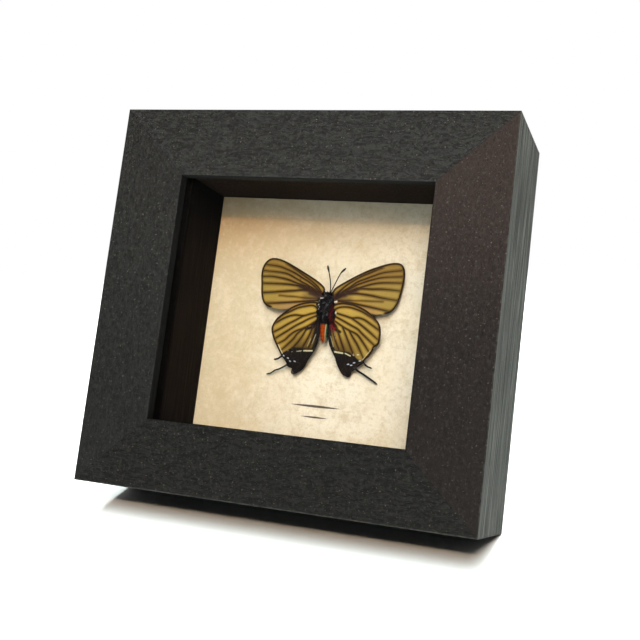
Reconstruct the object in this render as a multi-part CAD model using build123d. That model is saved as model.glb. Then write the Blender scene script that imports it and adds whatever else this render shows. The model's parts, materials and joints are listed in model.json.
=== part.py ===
from build123d import *
import math
import os

# Butterfly display case, in millimetres: a deep mitred frame that leans back on an easel strut.
# Everything is built in the frame of the upright case: X to the right, Y from the front face to
# the back, Z up, with the middle of the front face at the origin. The last section leans it back
# and sets it on the floor, with the origin under the middle of the whole and Z up.

# ---- Case
case_width = 120.0
case_height = 113.4
case_depth = 38.0
stile_width = 21.4
rail_width = 20.4
lip_thickness = 3.4
rabbet_width = 5.0
arris_radius = 0.5
lean = 22.0

# ---- What the rabbet holds, from the front to the back
glass_thickness = 2.2
glass_play = 0.4
glass_seam = 0.3
liner_play = 0.3
side_spacer_thickness = 5.9
end_spacer_thickness = 3.9
card_front = 28.0
card_thickness = 0.8
board_play = 0.4
panel_thickness = 3.0
panel_corner = 1.5

# ---- Fasteners, each a head and a shank
shank_play = 0.05
v_nail_leg = 4.6
v_nail_thickness = 0.5
v_nail_depth = 7.0
v_nail_places = (0.32, 0.68)
screw_head_radius = 2.7
screw_head_height = 1.5
screw_shank_radius = 1.25
screw_depth = 9.0
screw_slot = 0.6
nail_head_radius = 1.4
nail_head_height = 0.6
nail_shank_radius = 0.7
nail_depth = 9.0
rivet_head_radius = 1.7
rivet_head_height = 0.6
rivet_shank_radius = 0.9
rivet_depth = 2.4

# ---- Turn buttons
button_thickness = 0.8
button_pivot_radius = 3.8
button_tip_radius = 2.8
button_reach = 10.4
button_bend = 2.6
button_lift = 1.9
button_lift_gap = 0.1
button_inset = 5.4
button_height_share = 0.5
button_bore_play = 0.08

# ---- Easel strut and its hinge
strut_opening = 40.0
strut_thickness = 3.0
strut_gap = 0.4
strut_head_width = 27.0
strut_foot_width = 37.0
strut_stop_play = 0.05
strut_arch_width = 20.0
strut_arch_height = 3.6
hinge_height = 15.0
hinge_width = 14.0
hinge_knuckles = 5
knuckle_gap = 0.3
knuckle_radius = 1.6
hinge_pin_radius = 0.8
hinge_bore_play = 0.05
leaf_thickness = 0.6
leaf_length = 13.0
leaf_rivet_spacing = 8.0
leaf_rivet_height = 8.6
notch_play = 0.5

# ---- Wall hanger and bumpers
hanger_length = 44.0
hanger_height = 8.0
hanger_thickness = 0.8
hanger_raise = 1.3
hanger_foot = 6.5
hanger_slope = 1.6
hanger_drop = 8.0
tooth_pitch = 2.6
tooth_depth = 1.5
tooth_count = 11
hanger_nail_inset = 3.2
bumper_radius = 4.0
bumper_height = 2.0
bumper_inset = 8.0

# ---- Specimen, underside up: heights are above the middle of the case
body_x = 3.3
specimen_standoff = 4.0
thorax_radius = 2.4
thorax_neck = 7.6
thorax_waist = -0.2
head_radius = 1.35
eye_radius = 0.75
abdomen_radius = 1.45
abdomen_tip = -7.8
wing_thickness = 0.25
wing_droop_radius = 150.0
hindwing_lead = 0.6
left_wing_spread = 0.97
right_wing_spread = 1.03
antenna_radius = 0.16
antenna_club_radius = 0.32
riser_width = 3.0
riser_height = 5.0
riser_sink = 1.0

# Wing outlines, as (distance from the body's axis, height), from the front of the root round to
# its rear, and the tails, as (root, tip, width at the root)
forewing_outline = (
    (1.4, 8.0), (5.8, 11.6), (11.0, 14.8), (16.0, 16.9), (20.3, 17.6), (22.3, 16.2), (22.9, 12.5),
    (22.6, 8.5), (21.2, 4.0), (18.8, 2.2), (15.5, 1.8), (9.5, 2.7), (2.2, 5.2),
)
hindwing_outline = (
    (2.0, 4.6), (6.4, 4.4), (11.0, 3.0), (15.2, 0.3), (17.3, -3.5), (16.7, -7.2), (14.8, -10.2),
    (12.6, -12.6), (10.8, -14.6), (9.6, -16.6), (7.8, -17.3), (6.2, -15.8), (4.4, -12.6),
    (2.8, -9.6), (1.8, -6.6), (1.4, -2.0),
)
tails = (
    ((12.4, -12.2), (15.6, -14.0), 0.9),
    ((10.4, -14.4), (17.2, -18.3), 1.1),
)
# Antennae, as the root, a point on the way and the tip, measured from the body's axis
antennae_lines = (
    ((-0.5, 8.7), (-0.6, 12.2), (-1.4, 15.9)),
    ((0.5, 8.7), (2.2, 12.0), (4.5, 15.6)),
)

# ---- Worked out from the values above
half_width = case_width / 2
half_height = case_height / 2
rabbet_x = half_width - stile_width + rabbet_width
rabbet_z = half_height - rail_width + rabbet_width
glass_back = lip_thickness + glass_thickness
spacer_x = rabbet_x - liner_play
spacer_z = rabbet_z - liner_play
card_back = card_front + card_thickness
body_y = card_front - specimen_standoff
riser_front = body_y + thorax_radius - riser_sink
panel_front = case_depth - panel_thickness
pin_standoff = strut_gap + strut_thickness / 2
hinge_y = case_depth + pin_standoff
button_x = rabbet_x + button_inset
button_z = half_height * button_height_share
button_front = case_depth + button_lift_gap
hanger_z = half_height - hanger_drop
leaf_rivet_x = leaf_rivet_spacing / 2
along_back = (0, 1, 0)


def plate(sketch, front, back):
    """A flat sketch, drawn as X and Z, thickened from one depth to another."""
    drawn = Pos(0, front, 0) * (Plane.XZ * sketch)
    return extrude(drawn, amount=back - front, dir=along_back)


def board(width, height, front, back, corner=0.0):
    """A board centred on the case."""
    outline = RectangleRounded(width, height, corner) if corner else Rectangle(width, height)
    return plate(outline, front, back)


def group(solids):
    return Compound(children=list(solids))


# ---- Fasteners


def fastener(head_radius, head_height, shank_radius, depth, seat=0.0):
    """A domed head on a pointed shank, about the Y axis, with the underside of its head at seat."""
    tip = seat - depth
    crown = seat + head_height
    rim = seat + head_height * 0.35
    dome_radius = (head_radius**2 + (crown - rim) ** 2) / (2 * (crown - rim))
    half_turn = math.asin(head_radius / dome_radius) / 2
    halfway = (dome_radius * math.sin(half_turn), crown - dome_radius * (1 - math.cos(half_turn)))
    side = Polyline(
        (0, crown),
        (0, tip),
        (shank_radius, tip + shank_radius),
        (shank_radius, seat),
        (head_radius, seat),
        (head_radius, rim),
    )
    dome = ThreePointArc((head_radius, rim), halfway, (0, crown))
    return revolve(make_face([side, dome]), Axis.Y)


def shank_hole(shank_radius, front, back):
    """What a fastener's hole takes away."""
    return plate(Circle(shank_radius + shank_play), front, back)


def slotted_screw(seat):
    screw = fastener(screw_head_radius, screw_head_height, screw_shank_radius, screw_depth, seat)
    cut_front = seat + screw_head_height * 0.5
    slot = board(screw_slot, screw_head_radius * 2 + 1, cut_front, seat + screw_head_height + 1)
    return screw - Rot(Y=35) * slot


# ---- Places along the back, shared by the holes and what goes in them

button_places = {
    "upper_left": (-button_x, button_z),
    "upper_right": (button_x, button_z),
    "lower_left": (-button_x, -button_z),
    "lower_right": (button_x, -button_z),
}
hanger_nail_x = hanger_length / 2 - hanger_nail_inset
hanger_nail_places = [(side * hanger_nail_x, hanger_z) for side in (-1, 1)]
leaf_rivet_places = [(side * leaf_rivet_x, leaf_rivet_height) for side in (-1, 1)]


def v_nail(side, rise, share):
    """A wedge of bent strip across the mitre of one corner, at a share of the way inwards."""
    x = side * (half_width - share * (half_width - rabbet_x))
    z = rise * (half_height - share * (half_height - rabbet_z))
    leg, thick = v_nail_leg, v_nail_thickness
    strip = Polygon(
        (0, 0), (side * leg, 0), (side * leg, rise * thick), (side * thick, rise * thick),
        (side * thick, rise * leg), (0, rise * leg), align=None,
    )
    return plate(Pos(x - side * leg / 3, z - rise * leg / 3) * strip, case_depth - v_nail_depth,
                 case_depth)


v_nails = [
    v_nail(side, rise, share) for side in (-1, 1) for rise in (-1, 1) for share in v_nail_places
]


# ---- The mitred frame


def moulding(width, half_length, reach, other_width, turn):
    """One side of the frame, drawn as the top rail and turned about the case's axis."""
    profile = Polygon(
        (0, 0), (case_depth, 0), (case_depth, rabbet_width - width),
        (lip_thickness, rabbet_width - width), (lip_thickness, -width), (0, -width), align=None,
    )
    corners = [v for v in profile.vertices() if v.X < arris_radius or v.Y > -arris_radius]
    profile = fillet(corners, arris_radius)
    bar = extrude(Pos(0, 0, reach) * (Plane.YZ * profile), amount=half_length, both=True)
    past = 0.2
    outer = (half_length + past * other_width, reach + past * width)
    inner = (half_length - (1 + past) * other_width, reach - (1 + past) * width)
    mitred = Polygon(outer, (-outer[0], outer[1]), (-inner[0], inner[1]), inner, align=None)
    return Rot(Y=turn) * (bar & plate(mitred, -1, case_depth + 1))


def drilled(solid, places, shank_radius, depth):
    for x, z in places:
        solid = solid - Pos(x, 0, z) * shank_hole(shank_radius, case_depth - depth, case_depth + 1)
    return solid


def build_frame():
    sides = {
        "rail_top": moulding(rail_width, half_width, half_height, stile_width, 0),
        "rail_bottom": moulding(rail_width, half_width, half_height, stile_width, 180),
        "stile_left": moulding(stile_width, half_height, half_width, rail_width, -90),
        "stile_right": moulding(stile_width, half_height, half_width, rail_width, 90),
    }
    screws_left = [place for place in button_places.values() if place[0] < 0]
    screws_right = [place for place in button_places.values() if place[0] > 0]
    for name in sides:
        sides[name] = sides[name] - v_nails
    sides["rail_top"] = drilled(sides["rail_top"], hanger_nail_places, nail_shank_radius, nail_depth)
    for name, places in (("stile_left", screws_left), ("stile_right", screws_right)):
        sides[name] = drilled(sides[name], places, screw_shank_radius, screw_depth)
    return sides


# ---- Glass, liner, card and boards


def build_filling():
    glass = board(2 * (rabbet_x - glass_play), 2 * (rabbet_z - glass_play), lip_thickness, glass_back)
    glass = chamfer(glass.edges(), glass_seam)
    side_height = 2 * spacer_z
    end_width = 2 * (spacer_x - side_spacer_thickness)
    side = board(side_spacer_thickness, side_height, glass_back, card_front)
    end = board(end_width, end_spacer_thickness, glass_back, card_front)
    side_x = spacer_x - side_spacer_thickness / 2
    end_z = spacer_z - end_spacer_thickness / 2
    width = 2 * (rabbet_x - board_play)
    height = 2 * (rabbet_z - board_play)
    panel = board(width, height, panel_front, case_depth, panel_corner)
    rear_edges = panel.edges().filter_by_position(Axis.Y, case_depth - 0.01, case_depth + 0.01)
    panel = chamfer(rear_edges, 0.4)
    panel_holes = [(x, hinge_height + z) for x, z in leaf_rivet_places]
    return {
        "glass_pane": glass,
        "spacer_left": Pos(-side_x, 0, 0) * side,
        "spacer_right": Pos(side_x, 0, 0) * side,
        "spacer_top": Pos(0, 0, end_z) * end,
        "spacer_bottom": Pos(0, 0, -end_z) * end,
        "mount_card": board(width, height, card_front, card_back),
        "foam_board": board(width, height, card_back, panel_front),
        "back_panel": drilled(panel, panel_holes, rivet_shank_radius, rivet_depth),
    }


# ---- Specimen


def turned_body(*profile):
    """A solid about the specimen's axis, from (radius, height) points below and up to its top."""
    first, last = profile[0], profile[-1]
    edges = [Spline(*profile)]
    edges.append(Polyline(last, (0, last[1]), (0, first[1]), first))
    half = make_face(edges)
    return Pos(body_x, body_y, 0) * revolve(Plane.XZ * half, Axis.Z)


def wing(outline, strips, front, side, spread):
    """A thin wing, cut from a wide shell so that it droops towards the card."""
    root_front, root_rear = outline[0], outline[-1]
    blade = make_face([Spline(*outline), Line(root_rear, root_front)])
    for root, tip, width in strips:
        run = Vector(*tip) - Vector(*root)
        across = Vector(-run.Y, run.X).normalized() * (width / 2)
        corners = [Vector(*root) + across, Vector(*root) - across]
        corners += [Vector(*tip) - across * 0.4, Vector(*tip) + across * 0.4]
        blade = blade + Polygon(*[(c.X, c.Y) for c in corners], align=None)
    prism = plate(blade, front - 1, front + 8)
    shell = Cylinder(wing_droop_radius, case_height) - Cylinder(wing_droop_radius - wing_thickness,
                                                                case_height)
    sheet = prism & (Pos(0, front + wing_droop_radius, 0) * shell)
    sheet = scale(sheet, by=(spread, 1, 1))
    if side < 0:
        sheet = mirror(sheet, about=Plane.YZ)
    return Pos(body_x, 0, 0) * sheet


def antenna(root, middle, tip):
    path = ThreePointArc(root, middle, tip)
    path = Plane.XZ * path
    rod = sweep(Plane(path @ 0, z_dir=path % 0) * Circle(antenna_radius), path=path)
    club = Pos(path @ 1) * Sphere(antenna_club_radius)
    return Pos(body_x, body_y, 0) * (rod + club)


def build_specimen():
    thorax = turned_body(
        (abdomen_radius, thorax_waist), (thorax_radius * 0.96, 1.8), (thorax_radius, 4.4),
        (thorax_radius * 0.8, 6.6), (head_radius * 0.8, thorax_neck),
    )
    abdomen = turned_body(
        (0.2, abdomen_tip), (abdomen_radius * 0.55, abdomen_tip + 1.0),
        (abdomen_radius, abdomen_tip + 3.8), (abdomen_radius * 0.85, thorax_waist),
    )
    neck_plane = Pos(body_x, body_y, thorax_neck)
    crown = Pos(0, 0, head_radius * 0.7) * Sphere(head_radius)
    eye_pair = [
        Pos(side * head_radius * 0.75, -0.3, head_radius * 0.6) * Sphere(eye_radius)
        for side in (-1, 1)
    ]
    below_neck = Pos(0, 0, -head_radius) * Box(6 * head_radius, 6 * head_radius, 2 * head_radius)
    head = neck_plane * (crown + eye_pair - below_neck)
    riser = plate(Rectangle(riser_width, riser_height), riser_front, card_front)
    riser = Pos(body_x, 0, thorax_neck / 2) * riser - thorax
    pieces = {
        "thorax": thorax,
        "abdomen": abdomen,
        "head": head,
        "antennae": group(antenna(*line) - head for line in antennae_lines),
        "specimen_riser": riser,
    }
    for name, side, spread in (("left", -1, left_wing_spread), ("right", 1, right_wing_spread)):
        fore = wing(forewing_outline, (), body_y, side, spread)
        hind = wing(hindwing_outline, tails, body_y - hindwing_lead, side, spread)
        pieces["forewing_" + name] = fore - thorax - head - riser
        pieces["hindwing_" + name] = hind - thorax - abdomen
    return pieces


# ---- Turn buttons


def turn_button(points_to):
    """A strip with its tip bent up, about its pivot; points_to is 1 towards +X and -1 towards -X."""
    thick = button_thickness
    bend_x = button_reach - button_bend
    side = Polygon(
        (-button_pivot_radius, 0), (bend_x, 0), (button_reach, button_lift),
        (button_reach, button_lift + thick), (bend_x - thick * 0.4, thick),
        (-button_pivot_radius, thick), align=None,
    )
    strip = extrude(side, amount=button_pivot_radius, both=True)
    pivot_end = Circle(button_pivot_radius)
    tip_end = Pos(button_reach - button_tip_radius, 0) * Circle(button_tip_radius)
    outline = make_hull(pivot_end.edges() + tip_end.edges())
    blank = strip & plate(outline, -1, button_lift + thick + 1)
    blank = blank - plate(Circle(screw_shank_radius + button_bore_play), -1, thick + 1)
    return Rot(Y=0 if points_to > 0 else 180) * (Pos(0, button_front, 0) * blank)


def build_buttons():
    pieces = {}
    for name, (x, z) in button_places.items():
        pieces["turn_button_" + name] = Pos(x, 0, z) * turn_button(-1 if x > 0 else 1)
    seat = button_front + button_thickness + button_lift_gap
    screws = [Pos(x, 0, z) * slotted_screw(seat) for x, z in button_places.values()]
    pieces["turn_button_screws"] = group(screws)
    return pieces


# ---- Easel strut, drawn folded flat with the hinge pin's axis along X through the origin


def hinge_leaf(seat, first_knuckle):
    """A leaf that rises from the pin, its flat back at depth -seat, with every second knuckle."""
    pitch = hinge_width / hinge_knuckles
    clear = knuckle_radius + notch_play
    near = leaf_thickness - seat
    leaf = plate(Pos(0, (clear + leaf_length) / 2) * Rectangle(hinge_width, leaf_length - clear),
                 -seat, near)
    for hole_x in (-leaf_rivet_x, leaf_rivet_x):
        hole = Pos(hole_x, 0, leaf_rivet_height) * shank_hole(rivet_shank_radius, -seat - 1, seat)
        leaf = leaf - hole
    barrel = Circle(knuckle_radius) + Polygon(
        (-seat, 0), (-seat, clear), (near, clear), (near + leaf_thickness, clear * 0.45),
        (near + leaf_thickness, 0), align=None,
    )
    barrel = barrel - Circle(hinge_pin_radius + hinge_bore_play)
    for i in range(first_knuckle, hinge_knuckles, 2):
        x = (i - (hinge_knuckles - 1) / 2) * pitch
        leaf = leaf + Pos(x, 0, 0) * extrude(Plane.YZ * barrel, amount=(pitch - knuckle_gap) / 2,
                                             both=True)
    return leaf


def strut_blank(floor_drop):
    """The board, with a head that is bevelled to bear on the panel and a foot cut to the floor."""
    opening = math.radians(strut_opening)
    from_vertical = math.radians(strut_opening - lean)
    inner, outer = -strut_thickness / 2, strut_thickness / 2
    reach = pin_standoff - strut_stop_play

    def stop(y):
        return (y * math.cos(opening) + reach) / math.sin(opening)

    def foot(y):
        return -(floor_drop + y * math.sin(from_vertical)) / math.cos(from_vertical)

    side = Polygon(
        (inner, stop(inner)), (outer, stop(outer)), (outer, foot(outer)), (inner, foot(inner)),
        align=None,
    )
    length = -foot(0)
    slab = extrude(Plane.YZ * side, amount=strut_foot_width, both=True)
    head, base = strut_head_width / 2, strut_foot_width / 2
    taper = (base - head) / length
    top, bottom = stop(outer) + 1, -length - strut_thickness
    front = Polygon(
        (head - taper * top, top), (-head + taper * top, top),
        (-head + taper * bottom, bottom), (head - taper * bottom, bottom), align=None,
    )
    notch_half = hinge_width / 2 + notch_play
    notch_floor = -(knuckle_radius + notch_play)
    notch = Pos(0, notch_floor + length / 2) * Rectangle(2 * notch_half, length)
    arch_radius = (strut_arch_width**2 / 4 + strut_arch_height**2) / (2 * strut_arch_height)
    arch = Pos(0, strut_arch_height - arch_radius - length) * Circle(arch_radius)
    return slab & plate(front - notch - arch, -strut_thickness, strut_thickness)


def build_easel():
    lean_angle = math.radians(lean)
    floor_drop = (hinge_height + half_height) * math.cos(lean_angle)
    floor_drop -= pin_standoff * math.sin(lean_angle)
    floor_drop -= arris_radius * (math.cos(lean_angle) + math.sin(lean_angle) - 1)
    blank = strut_blank(floor_drop)
    moving_leaf = Rot(X=180) * hinge_leaf(strut_thickness / 2 + leaf_thickness, 1)
    rivets = []
    for x, z in leaf_rivet_places:
        hole = shank_hole(rivet_shank_radius, strut_thickness / 2 - rivet_depth, strut_thickness)
        blank = blank - Pos(x, 0, -z) * hole
        seat = strut_thickness / 2 + leaf_thickness
        rivets.append(Pos(x, 0, -z) * fastener(rivet_head_radius, rivet_head_height,
                                               rivet_shank_radius, rivet_depth, seat))
    opened = Pos(0, hinge_y, hinge_height) * Rot(X=strut_opening)
    at_hinge = Pos(0, hinge_y, hinge_height)
    panel_rivets = []
    for x, z in leaf_rivet_places:
        rivet = fastener(rivet_head_radius, rivet_head_height, rivet_shank_radius, rivet_depth,
                         case_depth + leaf_thickness)
        panel_rivets.append(Pos(x, 0, hinge_height + z) * rivet)
    pin = extrude(Plane.YZ * Circle(hinge_pin_radius), amount=hinge_width / 2, both=True)
    return {
        "easel_strut": opened * blank,
        "hinge_strut_leaf": opened * moving_leaf,
        "strut_leaf_rivets": opened * group(rivets),
        "hinge_fixed_leaf": at_hinge * hinge_leaf(pin_standoff, 0),
        "hinge_pin": at_hinge * pin,
        "fixed_leaf_rivets": group(panel_rivets),
    }


# ---- Wall hanger and bumpers


def build_hanger():
    half = hanger_length / 2
    shoulder = half - hanger_foot
    crest = shoulder - hanger_slope
    line = [(-half, 0), (-shoulder, 0), (-crest, hanger_raise), (crest, hanger_raise),
            (shoulder, 0), (half, 0)]
    thick = hanger_thickness
    upper = [(x, y + thick) for x, y in reversed(line)]
    profile = Polygon(*line, *upper, align=None)
    strip = extrude(profile, amount=hanger_height / 2, both=True)
    low = -hanger_height / 2
    for i in range(tooth_count):
        x = (i - (tooth_count - 1) / 2) * tooth_pitch
        tooth = Polygon((x - tooth_pitch / 2, low - 0.01), (x, low + tooth_depth),
                        (x + tooth_pitch / 2, low - 0.01), align=None)
        strip = strip - plate(tooth, -1, hanger_raise + thick + 1)
    strip = Pos(0, case_depth, hanger_z) * strip
    nails = []
    for x, z in hanger_nail_places:
        hole = shank_hole(nail_shank_radius, case_depth - 1, case_depth + 2)
        strip = strip - Pos(x, 0, z) * hole
        nails.append(Pos(x, 0, z) * fastener(nail_head_radius, nail_head_height,
                                             nail_shank_radius, nail_depth, case_depth + thick))
    return {"sawtooth_hanger": strip, "hanger_nails": group(nails)}


def build_bumpers():
    disc = plate(Circle(bumper_radius), case_depth, case_depth + bumper_height)
    rim = disc.edges().filter_by_position(Axis.Y, case_depth + bumper_height - 0.01,
                                          case_depth + bumper_height + 0.01)
    disc = fillet(rim, bumper_height * 0.45)
    x = half_width - bumper_inset
    z = bumper_inset - half_height
    return {"wall_bumpers": group(Pos(side * x, 0, z) * disc for side in (-1, 1))}


# ---- Assembly: lean the case back about its lower rear edge, and centre the whole on the floor

pieces = {}
for section in (build_frame, build_filling, build_specimen, build_buttons, build_easel,
                build_hanger, build_bumpers):
    pieces.update(section())
pieces["corner_v_nails"] = group(v_nails)

leaned = {name: Rot(X=-lean) * piece for name, piece in pieces.items()}
boxes = [piece.bounding_box() for piece in leaned.values()]
middle_y = (min(box.min.Y for box in boxes) + max(box.max.Y for box in boxes)) / 2
lowest = min(box.min.Z for box in boxes)
middle_x = (min(box.min.X for box in boxes) + max(box.max.X for box in boxes)) / 2
stand = Pos(-middle_x, -middle_y, -lowest)

os.makedirs("parts", exist_ok=True)
for name, piece in leaned.items():
    export_step(stand * piece, "parts/" + name + ".step")


def report_place(label, x, y, z):
    place = (stand * Rot(X=-lean) * Pos(x, y, z)).position
    print(label, round(place.X, 4), round(place.Y, 4), round(place.Z, 4))


report_place("front_middle", 0, 0, 0)
report_place("hinge_pin", 0, hinge_y, hinge_height)
for name, (x, z) in button_places.items():
    report_place("turn_button_" + name, x, button_front, z)
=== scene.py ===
import json
import math
import random
from functools import partialmethod

import bpy
import numpy as np
from mathutils import Matrix, Vector
from mathutils.geometry import interpolate_bezier


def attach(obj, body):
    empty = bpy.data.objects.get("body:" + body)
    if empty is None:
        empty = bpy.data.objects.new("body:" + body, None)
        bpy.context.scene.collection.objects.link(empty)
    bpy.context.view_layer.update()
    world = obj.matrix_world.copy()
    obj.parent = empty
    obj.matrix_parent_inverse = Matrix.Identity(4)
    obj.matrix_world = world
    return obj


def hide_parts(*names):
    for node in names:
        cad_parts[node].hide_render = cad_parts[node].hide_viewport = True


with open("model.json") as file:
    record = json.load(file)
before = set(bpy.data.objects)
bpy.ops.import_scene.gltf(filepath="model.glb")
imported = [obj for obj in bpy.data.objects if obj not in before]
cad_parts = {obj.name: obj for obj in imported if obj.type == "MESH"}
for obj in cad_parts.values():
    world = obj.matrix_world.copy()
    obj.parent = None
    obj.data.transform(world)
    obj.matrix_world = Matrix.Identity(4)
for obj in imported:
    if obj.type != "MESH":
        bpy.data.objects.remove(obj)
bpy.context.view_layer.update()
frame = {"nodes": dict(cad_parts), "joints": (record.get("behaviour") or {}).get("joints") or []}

MM = 0.001

# ---- Camera, in the leaning case's own frame: X right, Y into the case, Z up along it
CAMERA_PLACE = (107.48, -262.355, -38.211)
CAMERA_RIGHT = (0.93604, 0.32992, 0.1224)
CAMERA_LOOK = (-0.34408, 0.931, 0.12187)
CAMERA_LENS = 57.377
SENSOR_WIDTH = 36.0

# ---- Light. A lamp's share is how bright it makes a white surface that faces it, and its rise
# and turn are its angles above the floor and to the right of straight ahead.
KEY = {"share": 0.37, "rise": 33.9, "turn": 14.0, "distance": 3.0, "size": (0.6, 0.08),
       "colour": (1.0, 0.72, 0.48)}
FILL = {"share": 0.465, "rise": 48.5, "turn": 12.0, "distance": 3.0, "size": (1.6, 1.7),
        "colour": (0.66, 0.83, 1.0)}
FLOOR_FILL = {**FILL, "share": 1.5, "colour": (0.92, 1.0, 0.95)}
FLOOR_BACK = {**FLOOR_FILL, "rise": 60.0, "turn": 180.0}
ROOM_TONE = (0.018, 0.02, 0.022)
BACKDROP_TONE = (0.62, 0.61, 0.59)
FLOOR_TONE = (0.74, 0.8, 0.84)
FLOOR_LIFT = 0.95
FLOOR_FADE = (0.26, 0.42)

# ---- Specimen, in millimetres from the body's axis, underside up
BODY_X = 3.3
BODY_Y = 24.0
BODY_LEAN = 0.5
HINDWING_LEAD = 0.6
DROOP_RADIUS = 150.0
WING_THICKNESS = 0.12
WING_REACH = 24
WING_RAYS, WING_RINGS = 230, 70
# Radii at a line's start and end, and how far the membrane stands out between veins
VEIN_RADII = (0.17, 0.07)
FAINT_RADII = (0.08, 0.03)
RIM_RADII = (0.17, 0.13)
LEG_RADII = (0.26, 0.12)
MEMBRANE_SWELL = 0.12
NECK = 6.3
ABDOMEN_RINGS = 6
TURNED_STEPS, TURNED_SEGMENTS = 26, 28
HAIR_SEED = 7
HAIR_CORNERS = (0.0, 2.094, 4.189)
SIDES = {"left": -1, "right": 1}

# Plain rules where a caption would stand: middle, height, half length and half thickness
CAPTION_RULES = ((2.4, -26.6, 8.2, 0.36), (2.4, -29.9, 4.4, 0.26))

# Each wing's outline, veins and marks as (distance from the body's axis, height), out from the root.
# A number that ends a tail is its radius. Those that end a bar are its radius and how pale it is.
LEFT_FOREWING = {
    "root": ((0.5, 7.2), (0.5, 5.4)),
    "dark_rim": 0.72,
    "outline": (
        (1.1, 7.4), (1.3, 9.0), (3.4, 10.7), (6.5, 12.4), (11.5, 14.9), (14.6, 16.3), (17.4, 17.1),
        (19.5, 17.1), (21.1, 16.1), (22.1, 14.2), (22.3, 12.0), (21.9, 9.0), (21.4, 5.6),
        (20.3, 3.2), (18.2, 2.0), (15.1, 1.6), (12.3, 1.9), (8.0, 3.6), (2.4, 4.8),
    ),
    "veins": (
        ((1.7, 7.2), (3.4, 9.2), (6.0, 11.1), (9.0, 12.8), (12.1, 14.6), (14.3, 15.8)),
        ((2.0, 6.9), (4.0, 8.9), (6.4, 10.5), (8.4, 11.5), (11.3, 13.0), (14.1, 14.0),
         (16.9, 14.8), (21.6, 15.2)),
        ((2.3, 6.9), (4.5, 8.4), (7.0, 9.7), (8.5, 10.3), (10.9, 11.4), (13.7, 12.6),
         (16.7, 13.0), (22.1, 13.2)),
        ((6.2, 9.0), (10.2, 9.9), (13.2, 10.8), (16.3, 11.3), (19.2, 11.5), (22.1, 11.3)),
        ((3.6, 7.2), (5.6, 8.4), (10.1, 9.2), (14.3, 9.4), (18.7, 9.3), (21.8, 9.2)),
        ((4.6, 7.9), (6.8, 8.1), (10.5, 7.6), (14.6, 7.1), (18.2, 6.6), (21.5, 6.2)),
        ((2.9, 5.1), (7.9, 4.4), (11.6, 3.9), (15.7, 3.4), (20.0, 3.0)),
    ),
    "faint": (
        ((2.9, 5.7), (6.5, 5.5), (10.1, 5.7), (13.0, 5.7), (15.5, 5.8)),
        ((8.9, 10.4), (9.3, 11.2), (8.9, 11.9)),
    ),
}
RIGHT_FOREWING = {
    "root": ((0.5, 6.9), (0.5, 5.4)),
    "dark_rim": 0.72,
    "outline": (
        (1.6, 6.6), (1.7, 8.2), (2.9, 9.6), (7.1, 12.4), (11.7, 15.0), (16.3, 16.9), (19.2, 17.7),
        (21.4, 17.7), (22.6, 16.8), (23.2, 14.9), (23.2, 12.2), (22.9, 9.4), (22.3, 6.5),
        (21.3, 4.3), (20.0, 3.0), (17.9, 2.4), (15.4, 2.2), (8.1, 3.6), (2.4, 4.6),
    ),
    "veins": (
        ((2.6, 6.7), (3.9, 8.5), (6.0, 10.5), (8.2, 12.1), (10.5, 13.5), (13.0, 14.7),
         (16.4, 16.3)),
        ((2.8, 6.2), (4.7, 8.2), (7.1, 10.0), (9.0, 11.5), (11.3, 12.5), (14.0, 13.7),
         (16.9, 14.8), (22.3, 15.7)),
        ((3.2, 6.0), (5.9, 8.6), (8.4, 10.3), (10.1, 11.1), (12.9, 12.2), (16.8, 13.3),
         (22.9, 13.9)),
        ((8.6, 9.4), (10.2, 9.9), (13.6, 11.1), (16.9, 11.7), (22.9, 12.0)),
        ((4.6, 7.4), (7.4, 8.8), (10.3, 9.5), (13.8, 9.6), (17.2, 9.8), (22.7, 9.6)),
        ((5.6, 7.7), (8.2, 7.9), (10.4, 7.9), (14.0, 7.6), (17.5, 7.1), (22.2, 6.7)),
        ((3.4, 5.3), (8.0, 5.0), (10.7, 4.6), (14.4, 4.1), (20.4, 3.2)),
    ),
    "faint": (
        ((3.4, 5.6), (8.0, 5.7), (11.4, 5.9), (14.9, 6.0), (17.5, 6.1)),
        ((9.0, 10.6), (9.4, 11.2), (9.1, 11.7)),
    ),
}
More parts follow.
